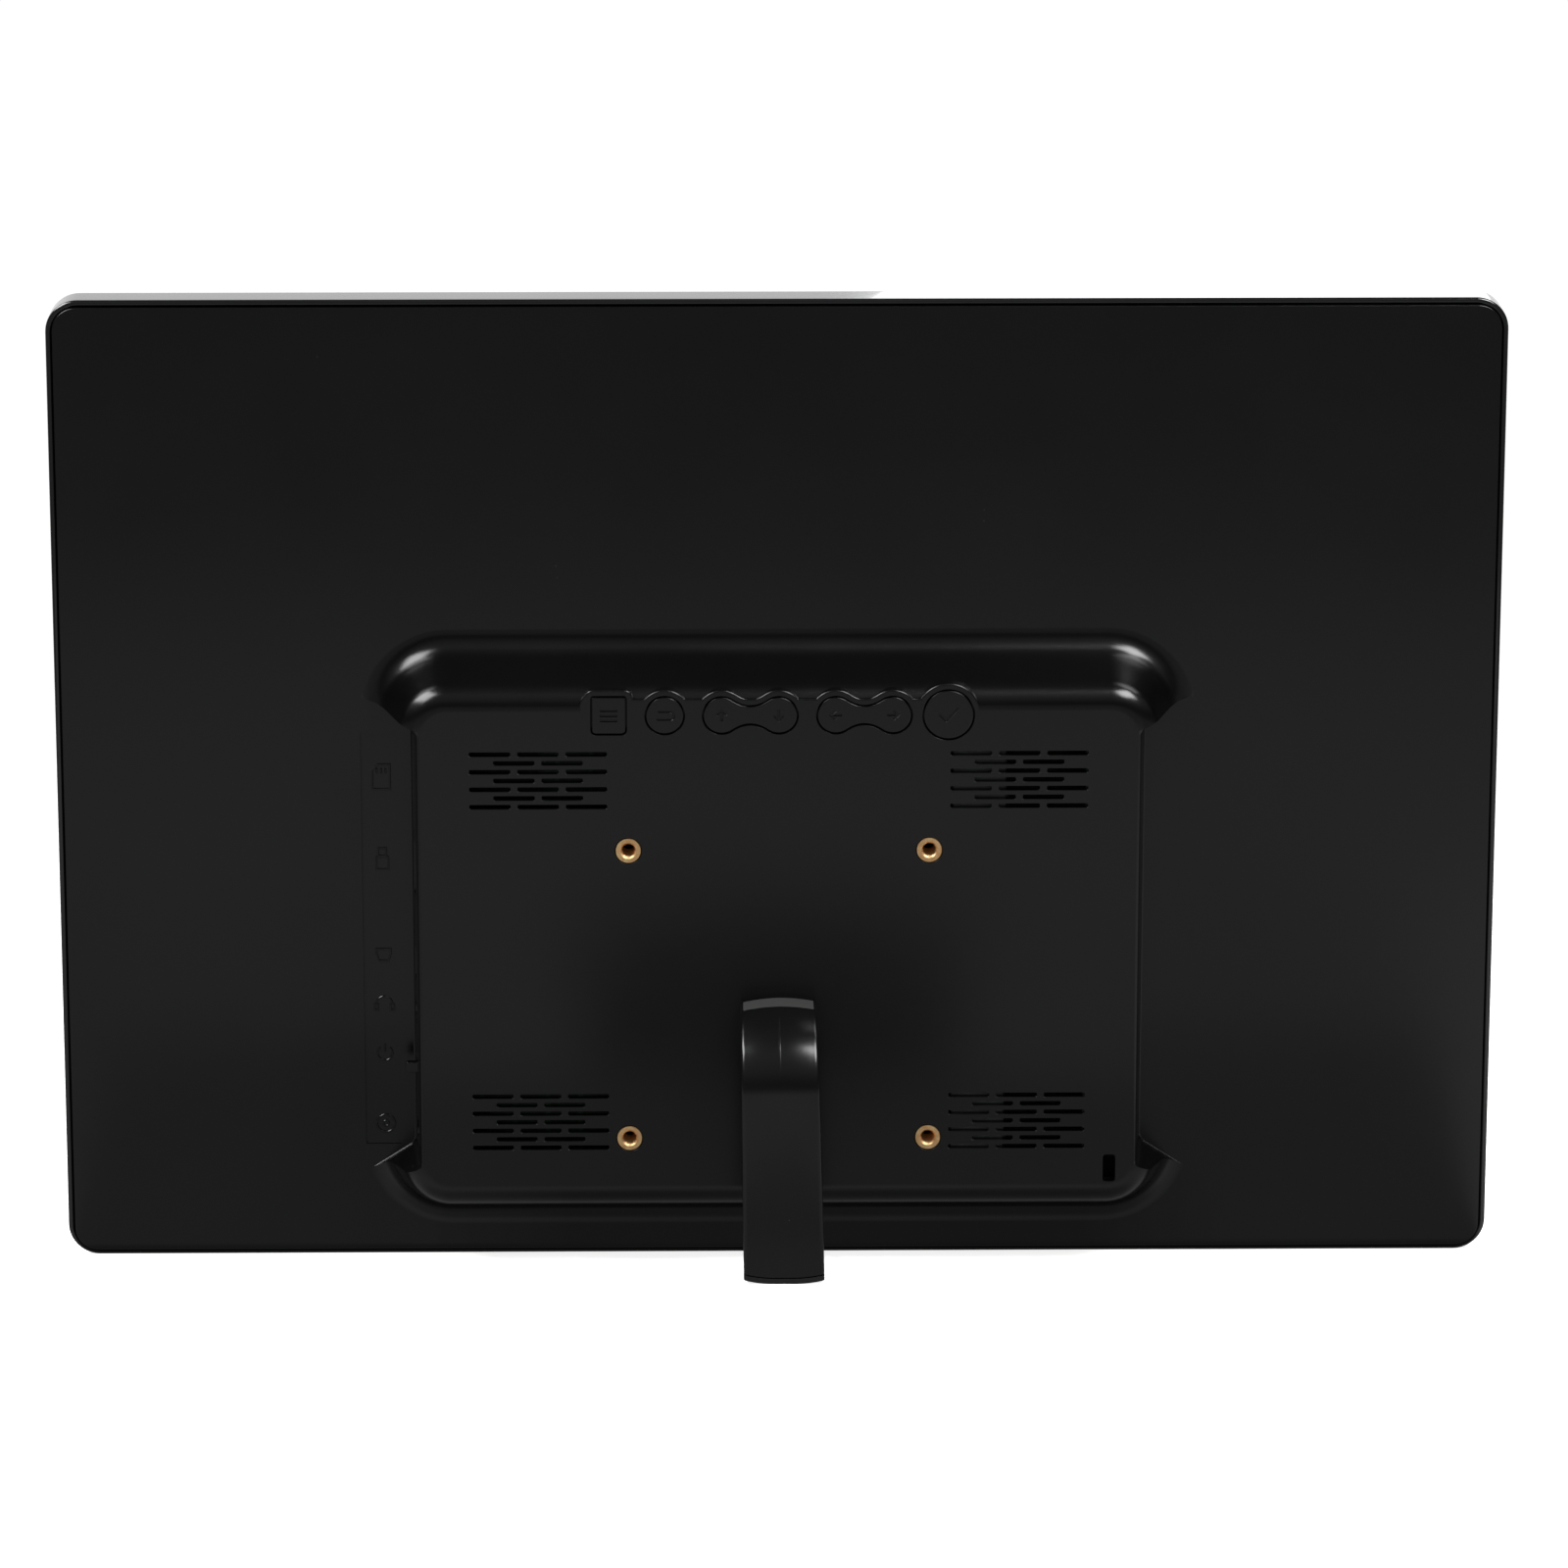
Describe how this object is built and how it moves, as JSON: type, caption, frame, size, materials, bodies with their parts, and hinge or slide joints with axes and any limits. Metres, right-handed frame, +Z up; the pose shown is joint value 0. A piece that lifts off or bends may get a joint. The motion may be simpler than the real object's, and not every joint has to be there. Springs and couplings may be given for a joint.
{
  "type": "digital photo frame",
  "caption": "Wide black picture display leaning on a curved plug-in stand, with a raised rear housing carrying keys, vents, side sockets and threaded mounting inserts.",
  "frame": {"origin": "middle of the overall box's lower face, on the table the frame stands on", "axes": "+X across the frame towards the socket side, +Y out of the back, +Z up; the screen faces -Y and leans back 10.3 degrees"},
  "size_m": [0.362, 0.0704, 0.2454],
  "materials": {
    "satin_black": "satin, very fine texture",
    "gloss_black": "high gloss",
    "screen_glass": "gloss",
    "clear_acrylic": "clear",
    "ribbon": "matte",
    "steel": "zinc plated",
    "circuit_board": "satin solder mask",
    "chip_black": "matte",
    "socket_metal": "tin plated",
    "key_black": "satin",
    "speaker_grey": "matte",
    "cone_paper": "matte",
    "brass": "turned",
    "stand_black": "semi-gloss",
    "pad_rubber": "matte"
  },
  "bodies": {
    "housing": {"rear_cover": "satin_black", "front_bezel": "gloss_black", "lcd_cell": "screen_glass", "light_guide": "clear_acrylic", "led_strip": "ribbon", "lcd_tray": "steel", "tray_screw_1": "steel", "tray_screw_2": "steel", "tray_screw_3": "steel", "tray_screw_4": "steel", "main_board": "circuit_board", "board_screw_1": "steel", "board_screw_2": "steel", "board_screw_3": "steel", "board_screw_4": "steel", "processor_chip": "chip_black", "memory_chip": "chip_black", "flash_chip": "chip_black", "power_inductor": "chip_black", "card_socket": "chip_black", "usb_socket": "socket_metal", "mini_usb_socket": "socket_metal", "headphone_jack": "chip_black", "power_socket": "chip_black", "power_switch_body": "socket_metal", "display_cable": "ribbon", "key_cable": "ribbon", "key_board": "circuit_board", "menu_switch": "chip_black", "back_switch": "chip_black", "up_switch": "chip_black", "down_switch": "chip_black", "left_switch": "chip_black", "right_switch": "chip_black", "ok_switch": "chip_black", "vesa_insert_1": "brass", "vesa_insert_2": "brass", "vesa_insert_3": "brass", "vesa_insert_4": "brass", "lock_plate": "steel", "speaker_frame_upper": "speaker_grey", "speaker_frame_lower": "speaker_grey", "speaker_cone_upper": "cone_paper", "speaker_cone_lower": "cone_paper"},
    "stand": {"stand_arm": "stand_black", "stand_spigot": "steel", "stand_washer": "steel", "stand_screw": "steel", "stand_foot_pad": "pad_rubber"},
    "menu_key": {"menu_button": "key_black"},
    "back_key": {"back_button": "key_black"},
    "up_down_key": {"up_down_rocker": "key_black"},
    "left_right_key": {"left_right_rocker": "key_black"},
    "ok_key": {"ok_button": "key_black"},
    "power_slider": {"power_switch_knob": "key_black"}
  },
  "joints": [
    {"name": "stand_turn", "type": "hinge", "parent": "housing", "child": "stand", "pos_m": [0, 0.00954, 0.05919], "axis": [0, 0.9839, -0.1788], "range_deg": [0, 90]},
    {"name": "menu_press", "type": "slide", "parent": "housing", "child": "menu_key", "axis": [0, -0.9839, 0.1788], "range_m": [0, 0.0005], "stiffness_N_per_m": 800},
    {"name": "back_press", "type": "slide", "parent": "housing", "child": "back_key", "axis": [0, -0.9839, 0.1788], "range_m": [0, 0.0005], "stiffness_N_per_m": 800},
    {"name": "ok_press", "type": "slide", "parent": "housing", "child": "ok_key", "axis": [0, -0.9839, 0.1788], "range_m": [0, 0.0005], "stiffness_N_per_m": 800},
    {"name": "up_down_rock", "type": "hinge", "parent": "housing", "child": "up_down_key", "pos_m": [0.00707, 0.0214, 0.14119], "axis": [0, 0.1788, 0.9839], "range_deg": [-2.2, 2.2], "stiffness_Nm_per_rad": 0.04},
    {"name": "left_right_rock", "type": "hinge", "parent": "housing", "child": "left_right_key", "pos_m": [-0.02123, 0.0214, 0.14119], "axis": [0, 0.1788, 0.9839], "range_deg": [-2.2, 2.2], "stiffness_Nm_per_rad": 0.04},
    {"name": "power_slide", "type": "slide", "parent": "housing", "child": "power_slider", "axis": [0, 0.1788, 0.9839], "range_m": [0, 0.002]}
  ]
}
